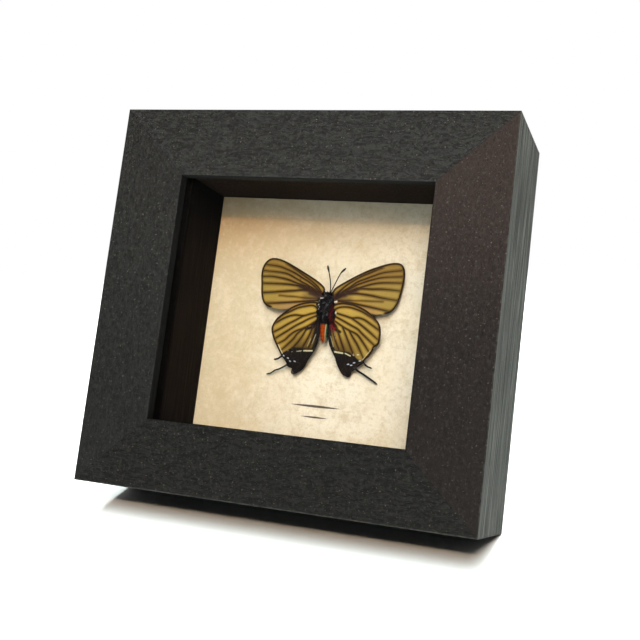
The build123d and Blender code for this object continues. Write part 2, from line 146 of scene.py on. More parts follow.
LEFT_HINDWING = {
    "root": ((0.5, 3.2), (0.5, -0.4)),
    "dark_rim": 0.8,
    "red": 0.0,
    "outline": (
        (2.0, 4.2), (4.3, 4.5), (7.5, 3.9), (10.6, 2.6), (12.9, 0.8), (15.3, -1.4), (16.4, -3.5),
        (16.5, -5.1), (15.7, -7.3), (14.5, -9.3), (13.2, -11.2), (12.4, -12.4), (11.5, -13.3),
        (10.5, -14.4), (9.8, -15.6), (9.1, -15.9), (8.3, -16.1), (8.5, -16.9), (8.3, -17.6),
        (7.4, -17.7), (6.0, -16.9), (4.7, -15.6), (3.8, -13.5), (2.9, -11.9), (1.9, -10.1),
        (1.2, -7.7), (1.1, -5.0), (1.4, -2.2),
    ),
    "veins": (
        ((2.2, 1.9), (2.9, 2.8), (4.2, 3.4), (6.3, 3.1), (9.1, 2.3), (11.3, 1.1), (13.7, -0.2),
         (15.5, -1.9)),
        ((2.4, 1.5), (4.7, 0.8), (6.8, 0.1), (9.5, 0.1), (11.5, -0.4), (13.5, -1.4), (15.9, -3.0)),
        ((6.8, 0.1), (9.3, -1.5), (11.5, -2.8), (13.5, -4.2), (15.8, -5.6)),
        ((2.4, 0.5), (5.1, -0.8), (6.7, -1.8), (8.9, -3.1), (11.4, -4.9), (14.9, -7.4)),
        ((2.4, -1.2), (5.1, -3.0), (6.6, -3.8), (8.9, -4.9), (10.5, -6.2), (11.9, -7.7),
         (13.9, -9.0)),
        ((5.1, -3.0), (6.4, -4.0), (8.1, -5.5), (9.1, -7.1), (10.4, -8.6), (12.6, -10.9)),
        ((5.1, -3.2), (6.2, -5.7), (7.4, -7.8), (9.4, -10.5)),
        ((3.2, -2.6), (4.4, -6.2), (5.5, -8.7), (6.0, -9.8)),
        ((2.5, -2.6), (3.0, -6.8), (3.9, -9.4)),
    ),
    "tails": (
        ((11.9, -12.4), (13.2, -13.5), (14.6, -14.0), 0.24),
        ((9.6, -14.8), (11.2, -15.9), (12.6, -16.7), (13.8, -17.2), (15.2, -18.2),
         (16.5, -18.6), 0.2),
    ),
    "bars": (
        ((2.7, -10.3), (5.3, -10.5), 0.1, 1.0), ((6.1, -10.6), (7.6, -10.9), 0.06, 0.7),
        ((8.9, -11.0), (9.2, -11.2), 0.06, 0.55), ((10.3, -10.9), (10.6, -11.0), 0.06, 0.55),
        ((13.8, -9.3), (12.1, -11.9), 0.05, 0.8), ((2.1, -5.2), (3.0, -8.2), 0.04, 0.55),
        ((3.6, -6.6), (4.4, -9.1), 0.04, 0.55),
    ),
    "spots": ((11.4, -12.6), (9.9, -13.2), (9.1, -14.1), (7.6, -14.0)),
    "lobe_top": -10.7,
}
RIGHT_HINDWING = {
    "root": ((0.5, 3.2), (0.5, -0.4)),
    "dark_rim": 0.8,
    "red": 1.0,
    "outline": (
        (2.3, 4.0), (3.9, 4.6), (5.8, 4.8), (8.8, 4.5), (12.4, 3.2), (15.4, 1.2), (17.1, -0.6),
        (17.8, -2.5), (17.9, -4.6), (17.8, -6.2), (17.2, -7.1), (16.4, -7.7), (16.2, -8.5),
        (15.7, -9.5), (15.0, -10.5), (14.3, -11.2), (13.8, -12.0), (13.4, -12.8), (12.6, -13.4),
        (11.8, -14.1), (11.0, -15.0), (10.4, -15.5), (10.3, -16.3), (10.0, -16.9), (9.4, -17.1),
        (8.7, -16.8), (8.1, -16.6), (7.2, -15.8), (6.4, -14.7), (5.7, -13.6), (5.0, -12.1),
        (4.5, -11.3), (3.6, -10.0), (2.4, -7.8), (1.7, -5.4), (1.4, -2.2),
    ),
    "veins": (
        ((2.4, 1.8), (3.3, 2.9), (4.6, 3.5), (6.9, 3.7), (8.9, 3.4), (11.6, 2.6), (14.1, 1.4),
         (16.4, 0.0)),
        ((2.6, 1.8), (6.3, 1.0), (8.5, 0.5), (10.7, 0.7), (12.6, 0.2), (14.8, -1.0), (17.4, -2.5)),
        ((8.4, 0.5), (10.9, -0.9), (13.7, -2.7), (17.2, -5.2)),
        ((2.6, 0.9), (6.1, -0.6), (8.8, -1.8), (10.8, -2.7), (12.4, -4.0), (16.6, -7.2)),
        ((2.6, -0.4), (6.3, -2.4), (8.3, -3.3), (10.6, -4.2), (12.3, -5.8), (15.3, -9.4)),
        ((8.1, -3.2), (9.6, -5.3), (11.4, -7.6), (13.6, -11.2)),
        ((5.9, -2.2), (7.4, -4.9), (8.8, -7.5), (10.6, -10.8)),
        ((3.8, -2.0), (5.7, -6.0), (7.1, -8.8), (7.5, -9.8)),
        ((2.8, -3.0), (4.5, -7.1), (5.7, -9.2)),
    ),
    "tails": (
        ((13.4, -12.1), (14.3, -12.9), (15.2, -13.5), (16.6, -13.9), 0.2),
        ((11.0, -14.2), (12.5, -15.1), (14.0, -15.8), (16.8, -17.3), (18.8, -18.4), 0.24),
    ),
    "bars": (
        ((4.5, -10.0), (7.0, -10.2), 0.12, 1.0), ((7.8, -10.2), (9.5, -10.8), 0.08, 0.8),
        ((10.3, -10.2), (10.5, -10.6), 0.12, 0.75), ((11.6, -10.3), (12.1, -10.2), 0.12, 0.7),
        ((15.5, -8.6), (13.4, -11.6), 0.05, 0.7), ((2.6, -5.4), (3.9, -8.6), 0.03, 0.55),
        ((3.2, -3.6), (4.4, -6.4), 0.03, 0.5),
    ),
    "spots": ((12.4, -12.1), (10.7, -12.8), (9.9, -13.6), (8.9, -13.4)),
    "lobe_top": -10.7,
}
FOREWINGS = {"left": LEFT_FOREWING, "right": RIGHT_FOREWING}
HINDWINGS = {"left": LEFT_HINDWING, "right": RIGHT_HINDWING}
# Tufts of scales on the breast: distance from the axis, height, half width and half height
WHITE_TUFTS = (
    (-1.7, 5.9, 0.5, 0.05), (-2.3, 5.1, 0.1, 0.2), (-2.2, 2.5, 0.1, 0.45), (2.8, 5.0, 0.4, 0.15),
    (3.3, 1.6, 0.15, 0.25), (-2.4, 3.9, 0.05, 0.25),
)
GREY_TUFTS = (
    (0.1, 3.7, 0.3, 0.35), (-0.7, 0.3, 0.3, 0.4), (0.6, 0.9, 0.2, 0.3), (1.0, 4.9, 0.1, 0.35),
    (1.6, 5.5, 0.1, 0.25), (-1.5, 1.7, 0.4, 0.15), (-2.1, 0.2, 0.2, 0.1), (-0.6, 6.6, 0.3, 0.1),
    (-0.9, 4.4, 0.2, 0.2),
)
# Left and right, as (distance from the axis, height)
ANTENNAE = (
    ((0.7, 7.2), (0.8, 8.4), (0.7, 10.0), (0.0, 12.9), (-1.0, 15.9)),
    ((0.9, 7.2), (1.3, 8.4), (2.3, 11.0), (3.5, 13.8), (4.9, 15.4)),
)


# ---- The case's own frame


def case_frame():
    """The leaning case's frame, from the middle of its front face, and half its width and height."""
    pivot = next(j for j in frame["joints"] if j["name"].startswith("turn_button"))
    right, back = Vector((1, 0, 0)), Vector(pivot["axis"]).normalized()
    turn = Matrix((right, back, right.cross(back)))
    points = [turn @ v.co for name in ("rail_top", "rail_bottom", "stile_left", "stile_right")
              for v in frame["nodes"][name].data.vertices]
    low, high = np.min(points, 0), np.max(points, 0)
    half = Vector(high - low) / 2
    matrix = turn.transposed().to_4x4()
    matrix.translation = matrix @ Vector((low[0] + half.x, low[1], low[2] + half.z))
    return matrix, half / MM


CASE, CASE_HALF = case_frame()


def in_case(x, y, z):
    """A place in the case, in millimetres, as a point of the row frame."""
    return CASE @ (Vector((x, y, z)) * MM)


def case_span(node):
    """A CAD node's lowest and highest corner in the case's frame, in millimetres."""
    inverse = CASE.inverted()
    points = np.array([inverse @ v.co for v in frame["nodes"][node].data.vertices]) / MM
    return Vector(points.min(0)), Vector(points.max(0))


# Half the width and half the height of the frame's opening
SIGHT_X = -case_span("stile_left")[1].x
SIGHT_Z = case_span("rail_top")[0].z


def put(name, data):
    """Adds an object to the scene."""
    thing = bpy.data.objects.new(name, data)
    bpy.context.scene.collection.objects.link(thing)
    return thing


# ---- Shader nodes


def linear(colour):
    """A colour for a shader: three display values up to 255, or four values that are linear."""
    if len(colour) == 4:
        return colour
    shares = [v / 255 for v in colour]
    return (*(s / 12.92 if s <= 0.04045 else ((s + 0.055) / 1.055) ** 2.4 for s in shares), 1.0)


class Paint:
    """Adds shader nodes to one material. A socket takes a number, a colour or another output."""

    def __init__(self, name, block=None):
        self.colour = None
        self.material = block or bpy.data.materials.new(name)
        self.material.use_nodes = True
        self.tree = self.material.node_tree
        self.tree.nodes.clear()

    def node(self, kind, sockets=None, **settings):
        node = self.tree.nodes.new("ShaderNode" + kind)
        for key, value in settings.items():
            setattr(node, key, value)
        for key, value in (sockets or {}).items():
            self.join(value, node.inputs[key])
        return node

    def join(self, value, socket):
        if isinstance(value, bpy.types.NodeSocket):
            self.tree.links.new(value, socket)
        else:
            socket.default_value = linear(value) if socket.type == "RGBA" else value

    def maths(self, operation, a, b=0.0, clamp=False):
        return self.node("Math", {0: a, 1: b}, operation=operation, use_clamp=clamp).outputs[0]

    plus = partialmethod(maths, "ADD")
    minus = partialmethod(maths, "SUBTRACT")
    times = partialmethod(maths, "MULTIPLY")
    ratio = partialmethod(maths, "DIVIDE")
    larger = partialmethod(maths, "MAXIMUM")
    unsigned = partialmethod(maths, "ABSOLUTE")

    def mix(self, factor, a, b):
        return self.node("Mix", {0: factor, 6: a, 7: b}, data_type="RGBA").outputs[2]

    def fade(self, value, start, end, low=0.0, high=1.0):
        """low where value is at start, high at end, smooth between them and level past them."""
        sockets = {"Value": value, "From Min": start, "From Max": end, "To Min": low, "To Max": high}
        return self.node("MapRange", sockets, interpolation_type="SMOOTHSTEP").outputs["Result"]

    def lay(self, tint, share):
        """Lays a tint over the colour so far, by a share from 0 to 1."""
        self.colour = self.mix(share, self.colour, tint)

    def veil(self, tint, value, start, end, share=1.0):
        """Lays a tint over the colour so far, by up to a share as value goes from start to end."""
        self.lay(tint, self.fade(value, start, end, 0.0, share))

    def move(self, vector, scale=(1, 1, 1), rotation=(0, 0, 0), location=(0, 0, 0), kind="POINT"):
        sockets = {"Vector": vector, "Scale": scale, "Rotation": rotation}
        if kind == "POINT":
            sockets["Location"] = location
        return self.node("Mapping", sockets, vector_type=kind).outputs[0]

    def noise(self, vector, scale, detail=3.0, roughness=0.5, distortion=0.0, **moves):
        """Noise at one scale, or at one for each axis, which further moves turn or shift."""
        if isinstance(scale, tuple):
            vector, scale = self.move(vector, scale, **moves), 1.0
        sockets = {"Vector": vector, "Scale": scale, "Detail": detail, "Roughness": roughness,
                   "Distortion": distortion}
        return self.node("TexNoise", sockets).outputs["Fac"]

    def cells(self, vector, scale):
        return self.node("TexVoronoi", {"Vector": vector, "Scale": scale}).outputs["Distance"]

    def ramp(self, factor, *stops):
        node = self.node("ValToRGB", {"Fac": factor})
        ramp = node.color_ramp
        while len(ramp.elements) < len(stops):
            ramp.elements.new(0.5)
        for element, (place, colour) in zip(ramp.elements, stops):
            element.position = place
            element.color = linear(colour)
        return node.outputs["Color"]

    def attribute(self, name):
        return self.node("Attribute", attribute_name=name).outputs["Fac"]

    def split(self, vector):
        return self.node("SeparateXYZ", {0: vector}).outputs

    def split_unsigned(self, vector):
        return self.split(self.node("VectorMath", {0: vector}, operation="ABSOLUTE").outputs[0])

    def bump(self, height, depth, normal=None):
        """Relief whose height runs from 0 to 1 over a depth in millimetres."""
        sockets = {"Height": height, "Distance": depth * MM, "Strength": 1.0}
        if normal is not None:
            sockets["Normal"] = normal
        return self.node("Bump", sockets).outputs[0]

    def place(self):
        """The surface's place in the case's frame, in millimetres."""
        inverse = CASE.inverted()
        spot = self.node("TexCoord").outputs["Object"]
        return self.move(spot, (1 / MM,) * 3, inverse.to_euler(), inverse.translation / MM)

    def own_place(self):
        """The surface's place in its piece's own frame, in millimetres, for pieces that move."""
        return self.move(self.node("TexCoord").outputs["Object"], (1 / MM,) * 3)

    def rounded(self, radius):
        """The normal with the piece's edges rounded by a radius in millimetres."""
        return self.node("Bevel", {"Radius": radius * MM}, samples=4).outputs[0]

    def facing(self):
        """The surface's normal in the case's frame, each part without its sign."""
        normal = self.node("TexCoord").outputs["Normal"]
        turned = self.move(normal, rotation=CASE.inverted().to_euler(), kind="VECTOR")
        return self.split_unsigned(turned)

    def surface(self, rough, normal, gloss=0.5, **more):
        """A Principled surface in the colour so far. more has its spaces written as underscores."""
        sockets = {"Base Color": self.colour, "Roughness": rough, "Normal": normal,
                   "Specular IOR Level": gloss}
        sockets.update((key.replace("_", " "), value) for key, value in more.items())
        return self.output(self.node("BsdfPrincipled", sockets))

    def either(self, factor, first, second):
        """Mixes two shaders, given as nodes."""
        return self.node("MixShader", {0: factor, 1: first.outputs[0], 2: second.outputs[0]})

    def output(self, shader, kind="OutputMaterial"):
        self.node(kind, {"Surface": shader.outputs[0]})
        return self.material

    def seen(self, backdrop=1.0):
        """1 where the camera sees this, and the backdrop share where it does in gloss or glass."""
        path = self.node("LightPath").outputs
        shiny = self.larger(path["Is Glossy Ray"], path["Is Transmission Ray"])
        shiny = self.times(shiny, self.maths("LESS_THAN", path["Diffuse Depth"], 0.5))
        return self.larger(path["Is Camera Ray"], self.times(shiny, backdrop))


# ---- Materials


def stained_wood(name, along, tone, glow, sawn_sheen_share=0.9, ripples=1.0, painted_top=0.05, painted_base_shade=0.45,
                 gloss=0.22):
    """Black-stained open-grained wood. along is the grain's axis, 0 or 2, and tone its middle.

    The top and base shares say how far the front is painted lighter to the top, as a painted sheen,
    and darker to the base, as painted shade.
    """

    def stretched(across, run):
        """Noise scales across the grain and along it."""
        return tuple(run if axis == along else across for axis in range(3))

    p = Paint(name)
    place = p.place()
    _, depth, level = p.split(place)
    pore = stretched(3.6, 0.9)
    wander = p.noise(place, 0.12)
    drift = p.node("VectorMath", {0: place, 1: p.times(wander, 7.0)}, operation="ADD")
    drift = drift.outputs[0]
    fine = p.noise(drift, stretched(3.4, 0.24), 5.0, 0.62)
    pores = p.noise(drift, pore, 3.0, 0.7, 0.6)
    broad = p.noise(place, 0.06)
    dark, light = (tuple(c * k for c in linear(tone)[:3]) + (1.0,) for k in (0.5, 1.9))
    p.colour = p.ramp(fine, (0.3, dark), (0.5, tone), (0.72, light))
    p.veil(glow, broad, 0.35, 0.65, 0.35)
    pit = p.fade(pores, 0.57, 0.66)
    p.lay((12, 11, 10), p.times(pit, 0.45))
    mottle = p.noise(place, 0.85, 5.0, 0.7, 0.5)
    p.veil((66, 65, 60), mottle, 0.52, 0.66, 0.6)
    p.veil((10, 10, 9), mottle, 0.48, 0.37, 0.72)
    # Long ripples left by the planer, in relief, with crests painted lighter and troughs darker as
    # painted highlight and shade
    ripple = p.noise(drift, stretched(1.3, 0.24), 2.0, 0.55, 0.8)
    p.veil(light, ripple, 0.5, 0.62, 0.7 * ripples)
    p.veil(dark, ripple, 0.47, 0.36, 0.8 * ripples)
    # Dust caught in the grain
    dust = p.noise(drift, pore, 2.0, 0.6, location=(31, 7, 19))
    p.veil((112, 110, 104), dust, 0.64, 0.72, 0.3)
    p.veil((138, 124, 110), p.noise(place, 1.7, 1.0), 0.67, 0.75, 0.55)
    # Painted sheen towards the top and painted shade towards the base
    p.veil((85, 68, 60), level, -15.0, 50.0, painted_top)
    p.veil((8, 7, 6), level, 25.0, -50.0, painted_base_shade)
    # The outer sides are sawn, with lines that follow the grain, and painted greyer, lighter towards
    # the front, as a painted sheen
    x, y, z = p.facing()
    side = p.fade(x if along == 2 else z, 0.85, 0.97)
    lines = p.noise(place, stretched(1.2, 0.022), 5.0, 0.75)
    dashes = p.noise(place, stretched(0.45, 0.05), 3.0, 0.6)
    lines = p.plus(p.times(lines, 0.7), p.times(dashes, 0.3))
    sawn_with_sheen = p.ramp(lines, (0.42, (34, 34, 32)), (0.5, (69, 68, 63)), (0.58, (110, 108, 101)))
    sawn_with_sheen = p.mix(p.fade(depth, 6.0, 0.5, 0.0, 0.45), sawn_with_sheen, (88, 88, 84))
    p.lay(sawn_with_sheen, p.times(side, sawn_sheen_share))
    # Arrises lightened, partly as wear where the stain is rubbed through and partly as a painted
    # highlight
    flat = p.larger(p.larger(x, y), z)
    rub_and_highlight = p.times(p.fade(flat, 0.985, 0.93), p.fade(p.noise(place, 0.5, 4.0), 0.42, 0.62))
    spot = p.split_unsigned(place)
    past_sight = p.larger(p.minus(spot[0], SIGHT_X), p.minus(spot[2], SIGHT_Z))
    rub_and_highlight = p.times(rub_and_highlight, p.fade(past_sight, 1.0, 4.0, 0.2, 1.0))
    p.lay((88, 84, 78), p.times(rub_and_highlight, 0.4))
    # Painted shade: the lip's inner faces, inside the sight edge, are laid near black
    inner = p.fade(past_sight, 0.3, 0.02)
    p.lay((6, 6, 5), p.times(inner, 0.94))
    # The glued mitre, a hairline from the sight corner out to the case's corner
    reach_x = p.ratio(p.minus(CASE_HALF.x, spot[0]), CASE_HALF.x - SIGHT_X)
    reach_z = p.ratio(p.minus(CASE_HALF.z, spot[2]), CASE_HALF.z - SIGHT_Z)
    off = p.times(p.unsigned(p.minus(reach_x, reach_z)), 14.0)
    seam = p.times(p.fade(off, 0.14, 0.03), p.fade(broad, 0.35, 0.6, 0.1, 0.4))
    p.lay((12, 11, 10), seam)
    height = p.plus(fine, p.times(pit, -0.5))
    height = p.plus(height, p.times(ripple, 2.0 * ripples))
    height = p.plus(height, p.times(p.times(lines, side), 1.2))
    height = p.minus(height, p.times(seam, 0.6))
    rough = p.plus(p.times(fine, 0.25), 0.42)
    rough = p.plus(rough, p.times(p.larger(side, inner), 0.4), clamp=True)
    return p.surface(rough, p.bump(height, 0.12), gloss)


def liner_material(name, low, middle, high, painted_top=0.0):
    """Brown-black strips, near black towards the glass. The top share darkens their tops as painted
    shade.
    """
    p = Paint(name)
    place = p.place()
    grain = p.noise(place, (2.2, 2.2, 0.07), 4.0, 0.6)
    blotch = p.noise(place, 0.12)
    p.colour = p.ramp(grain, (0.3, low), (0.55, middle), (0.75, high))
    p.veil(middle, blotch, 0.4, 0.7, 0.4)
    _, depth, level = p.split(place)
    # Painted shade, darker towards the strips' tops
    p.veil((5, 5, 5), level, 14.0, 35.0, painted_top)
    p.veil((5, 5, 5), depth, 7.5, 5.8, 0.9)
    rough = p.plus(p.times(blotch, 0.2), 0.75)
    return p.surface(rough, p.bump(grain, 0.06), 0.02)


def glass_material():
    p = Paint("pane_glass")
    smear = p.noise(p.place(), 0.05)
    tint = p.mix(smear, (0.98, 0.995, 0.99, 1), (0.995, 1.0, 0.995, 1))
    pane = p.node("BsdfPrincipled", {"Base Color": tint, "Roughness": 0.0, "IOR": 1.45,
                                     "Transmission Weight": 1.0})
    clear = p.node("BsdfTransparent", {"Color": (0.96, 0.98, 0.97, 1)})
    shade = p.node("LightPath").outputs["Is Shadow Ray"]
    return p.output(p.either(shade, pane, clear))


def card_material():
    """Parchment-toned card, browner towards its upper left, partly as print and partly as painted
    shade, with two printed rules.
    """
    p = Paint("parchment_card")
    place = p.place()
    x, _, z = p.split(place)
    high = case_span("mount_card")[1]
    broad = p.noise(place, 0.055, 4.0, 0.55, 0.3)
    middle = p.noise(place, 0.2, 6.0, 0.68)
    mottle = p.noise(place, 0.7, 4.0, 0.6, 0.4)
    fine = p.noise(place, 1.6, 4.0, 0.65)
    p.colour = p.mix(p.fade(broad, 0.3, 0.7), (220, 215, 199), (209, 201, 180))
    left = p.minus(p.times(middle, 14.0), x)
    p.veil((184, 170, 140), left, 0.0, 40.0, 0.8)
    # Browner towards the upper left, partly as print and partly as painted shade; held back in the
    # top strip where the lip's shadow falls, which paints that shadow greyer
    browning_and_shade = p.plus(p.times(middle, 14.0), p.minus(high.z, z))
    browning_and_shade = p.plus(browning_and_shade, p.times(p.plus(x, high.x), 0.25))
    browning_and_shade = p.times(p.fade(browning_and_shade, 46.0, 8.0, 0.0, 0.9), p.fade(z, 31.6, 30.4, 0.35, 1.0))
    p.lay((170, 132, 88), browning_and_shade)
    p.veil((184, 167, 134), middle, 0.48, 0.7, 0.5)
    p.veil((222, 213, 193), middle, 0.5, 0.32, 0.3)
    p.veil((186, 172, 140), mottle, 0.5, 0.66, 0.4)
    p.veil((224, 215, 194), mottle, 0.48, 0.34, 0.16)
    p.veil((180, 166, 136), fine, 0.52, 0.64, 0.25)
    rim = p.larger(p.ratio(p.unsigned(x), high.x), p.ratio(p.unsigned(z), high.z))
    rim = p.plus(rim, p.times(p.minus(middle, 0.5), 0.16))
    p.veil((210, 178, 130), rim, 0.8, 1.04, 0.3)
    fibres = p.noise(place, (0.5, 1, 2.6), 3.0, 0.7, rotation=(0, 0.6, 0))
    p.veil((150, 112, 70), fibres, 0.62, 0.7, 0.16)
    # Rules that swell in the middle
    for middle_x, height, half, thick in CAPTION_RULES:
        across = p.ratio(p.unsigned(p.minus(x, middle_x)), half)
        swell = p.times(p.minus(1.0, p.times(across, across)), thick)
        off = p.minus(p.unsigned(p.minus(z, height)), swell)
        ink = p.times(p.fade(off, 0.06, -0.06), p.fade(fine, 0.1, 0.34, 0.7, 0.92))
        p.lay((52, 40, 34), ink)
    rough = p.plus(p.times(fine, 0.15), 0.72)
    return p.surface(rough, p.bump(fine, 0.05), 0.2)


def cell_material(name, scale, low, high, share, rough, depth):
    """Foam or cork: packed cells, darkest in their middles."""
    p = Paint(name)
    cells = p.cells(p.place(), scale)
    p.colour = p.ramp(cells, (0.1, low), (share, high))
    return p.surface(rough, p.bump(cells, depth))


def board_material(name, low, middle, high):
    """Hardboard: pressed fibres with flecks and scuffs."""
    p = Paint(name)
    place = p.own_place()
    fibres = p.noise(place, (1.3, 1.3, 0.5), 5.0, 0.7, 1.2, rotation=(0.3, 0.2, 0.5))
    flecks = p.noise(place, (0.6, 1.6, 1.6), 3.0, 0.7, 0.8, rotation=(0.1, 0.9, 0.2))
    blotch = p.noise(place, 0.05)
    p.colour = p.ramp(fibres, (0.3, low), (0.5, middle), (0.7, high))
    p.veil(low, flecks, 0.6, 0.7, 0.35)
    p.veil(high, blotch, 0.4, 0.75, 0.3)
    scuffs = p.noise(place, (0.2, 1.0, 2.4), 2.0, rotation=(0.2, 0.5, 0))
    p.veil(high, scuffs, 0.66, 0.72, 0.25)
    rough = p.plus(p.times(fibres, 0.3), 0.42)
    return p.surface(rough, p.bump(fibres, 0.05, p.rounded(0.25)))


def steel_material(name, bright, dull):
    """Plated steel: brushed one way, spotted with tarnish, its edges rounded to catch light."""
    p = Paint(name)
    place = p.own_place()
    brushed = p.noise(place, (0.4, 6.0, 6.0), 3.0, 0.6)
    tarnish = p.noise(place, 0.7, 4.0, 0.6)
    p.colour = p.mix(p.fade(tarnish, 0.5, 0.72), bright, dull)
    p.lay(dull, p.times(brushed, 0.3))
    rough = p.plus(p.fade(tarnish, 0.45, 0.75, 0.24, 0.5), p.times(brushed, 0.12))
    return p.surface(rough, p.bump(brushed, 0.01, p.rounded(0.12)), Metallic=1.0)


def felt_material():
    p = Paint("felt")
    place = p.own_place()
    nap = p.noise(place, 3.0, 4.0, 0.75, 1.0)
    p.colour = p.ramp(nap, (0.3, (20, 19, 18)), (0.7, (58, 54, 50)))
    return p.surface(0.95, p.bump(nap, 0.2), Sheen_Weight=0.3)


def wing_material(name, base, rich, tip):
    """Scaled wing membrane, coloured by how far each place lies from veins, margin and marks."""
    p = Paint(name)
    place = p.place()
    vein = p.attribute("vein")
    cloud = p.noise(place, 0.28)
    scales = p.noise(place, 5.5, 3.0, 0.7)
    rows = p.noise(place, (1.2, 1.2, 7.0), 2.0, rotation=(0, 0.35, 0))
    wobble = p.times(p.minus(scales, 0.5), 0.3)
    p.colour = p.mix(p.fade(p.attribute("root"), 0.1, 0.75), rich, base)
    p.veil(tip, cloud, 0.35, 0.75, 0.45)
    p.veil((172, 146, 70), scales, 0.45, 0.75, 0.25)
    p.veil((84, 62, 18), rows, 0.5, 0.75, 0.25)
    p.veil((178, 152, 74), vein, 0.35, 1.0, 0.35)
    p.lay((98, 64, 20), p.times(p.attribute("apex"), 0.45))
    p.lay((148, 114, 78), p.attribute("pink"))
    p.lay((52, 33, 8), p.times(p.attribute("haze"), 0.85))
    thin = p.fade(p.attribute("root"), 0.5, 0.9, 1.0, 0.45)
    p.lay((88, 56, 4), p.times(p.fade(vein, 0.8, 0.1, 0.0, 0.75), thin))
    p.lay((34, 17, 0), p.times(p.fade(vein, 0.34, 0.15, 0.0, 0.9), thin))
    smoke = p.plus(p.attribute("smoke"), p.times(wobble, 0.8), clamp=True)
    p.lay((36, 14, 20), p.times(smoke, 0.94))
    edge = p.plus(p.attribute("margin"), wobble)
    p.veil((92, 64, 12), edge, 0.95, 0.4, 0.5)
    p.veil((36, 20, 2), edge, 0.55, 0.32)
    for mark, tint in (("black", (12, 7, 5)), ("red", (88, 9, 20)),
                       ("pale", (176, 172, 142)), ("blue", (180, 190, 208))):
        share = p.plus(p.attribute(mark), p.times(wobble, 1.3))
        p.veil(tint, share, 0.3, 0.7)
        if mark == "black":
            streaks = p.fade(p.noise(place, (2.6, 2.6, 0.5), 3.0, rotation=(0, 0.35, 0)), 0.5, 0.62)
            streaks = p.times(streaks, p.fade(share, 0.5, 1.0, 0.0, 0.55))
            p.lay((40, 26, 20), streaks)
    height = p.plus(scales, p.times(rows, 0.6))
    return p.surface(0.7, p.bump(height, 0.03), 0.15)


def vein_material():
    p = Paint("wing_vein")
    grain = p.noise(p.place(), 4.0)
    p.colour = p.ramp(grain, (0.3, (24, 12, 0)), (0.7, (56, 32, 3)))
    return p.surface(0.6, p.bump(grain, 0.03), 0.15)


def tint_material(name, scale, *stops, rough=0.6, depth=0.08):
    """Scales or hair of one tint, from its darker to its lighter values."""
    p = Paint(name)
    grain = p.noise(p.place(), scale, 4.0, 0.7)
    p.colour = p.ramp(grain, *stops)
    return p.surface(rough, p.bump(grain, depth), 0.2)


def black_material():
    """Black hair and scales with a cold glint."""
    stops = ((0.35, (5, 5, 6)), (0.6, (14, 13, 15)), (0.8, (44, 46, 56)))
    return tint_material("insect_black", 3.5, *stops, rough=0.5, depth=0.12)


def abdomen_material():
    """Orange scales in rings, with a blue-green strip down one flank."""
    p = Paint("insect_abdomen")
    place = p.place()
    x, _, z = p.split(place)
    grain = p.noise(place, 4.0, 4.0, 0.7)
    p.colour = p.ramp(grain, (0.3, (112, 30, 0)), (0.7, (152, 64, 4)))
    ring = p.unsigned(p.maths("SINE", p.times(z, math.pi / 1.15)))
    p.veil((96, 24, 4), ring, 0.35, 0.0, 0.6)
    flank = p.plus(x, p.times(p.minus(grain, 0.5), 0.3))
    middle = BODY_X + BODY_LEAN
    p.veil((134, 130, 92), flank, middle + 0.42, middle + 0.64)
    p.veil((16, 68, 48), flank, middle + 0.78, middle + 0.92)
    p.veil((8, 18, 16), flank, middle + 1.05, middle + 1.25)
    neck = p.plus(z, p.times(p.minus(grain, 0.5), 1.4))
    p.veil((14, 12, 14), neck, -2.6, -1.8)
    return p.surface(0.6, p.bump(grain, 0.1), 0.08)


# ---- Meshes


def flowing(points, count):
    """A smooth line through the points, resampled evenly."""
    given = [Vector(p) for p in points]
    padded = [given[0] * 2 - given[1], *given, given[-1] * 2 - given[-2]]
    line = []
    for before, start, end, after in zip(padded, padded[1:], padded[2:], padded[3:]):
        bend = (start, start + (end - before) / 6, end - (after - start) / 6, end)
        line += interpolate_bezier(*(p.to_3d() for p in bend), 16)[:-1]
    line.append(given[-1].to_3d())
    line = np.array(line)
    travel = np.concatenate([[0], np.cumsum(np.linalg.norm(np.diff(line, axis=0), axis=1))])
    steps = np.linspace(0, travel[-1], count)
    return np.stack([np.interp(steps, travel, line[:, k]) for k in range(3)], 1)


def distance_to(points, line):
    """Each point's distance from a line."""
    best = np.full(len(points), 1e9)
    for start, end in zip(line, line[1:]):
        run = end - start
        t = np.clip(((points - start) @ run) / max(run @ run, 1e-12), 0, 1)
        best = np.minimum(best, np.linalg.norm(points - start - t[:, None] * run, axis=1))
    return best


def ring_faces(rings, sides):
    """The faces between rings of points, and a cap on each end."""
    faces = []
    for j in range(rings - 1):
        for k in range(sides):
            a, b = j * sides + k, j * sides + (k + 1) % sides
            faces.append((a, b, b + sides, a + sides))
    faces.append(tuple(range(sides - 1, -1, -1)))
    faces.append(tuple(range((rings - 1) * sides, rings * sides)))
    return faces


def tube(line, radii, sides, flatten=1.0):
    """Points and faces of a closed tube along a line, with a radius for each of its points."""
    points = []
    line = np.asarray(line, float)
    across = Vector((0, 1, 0))
    for i, centre in enumerate(line):
        run = Vector(line[min(i + 1, len(line) - 1)] - line[max(i - 1, 0)]).normalized()
        side = run.cross(across).normalized()
        lift = side.cross(run)
        for k in range(sides):
            turn = 2 * math.pi * k / sides
            offset = side * math.cos(turn) + lift * (math.sin(turn) * flatten)
            points.append(Vector(centre) + offset * radii[i])
    return points, ring_faces(len(line), sides)


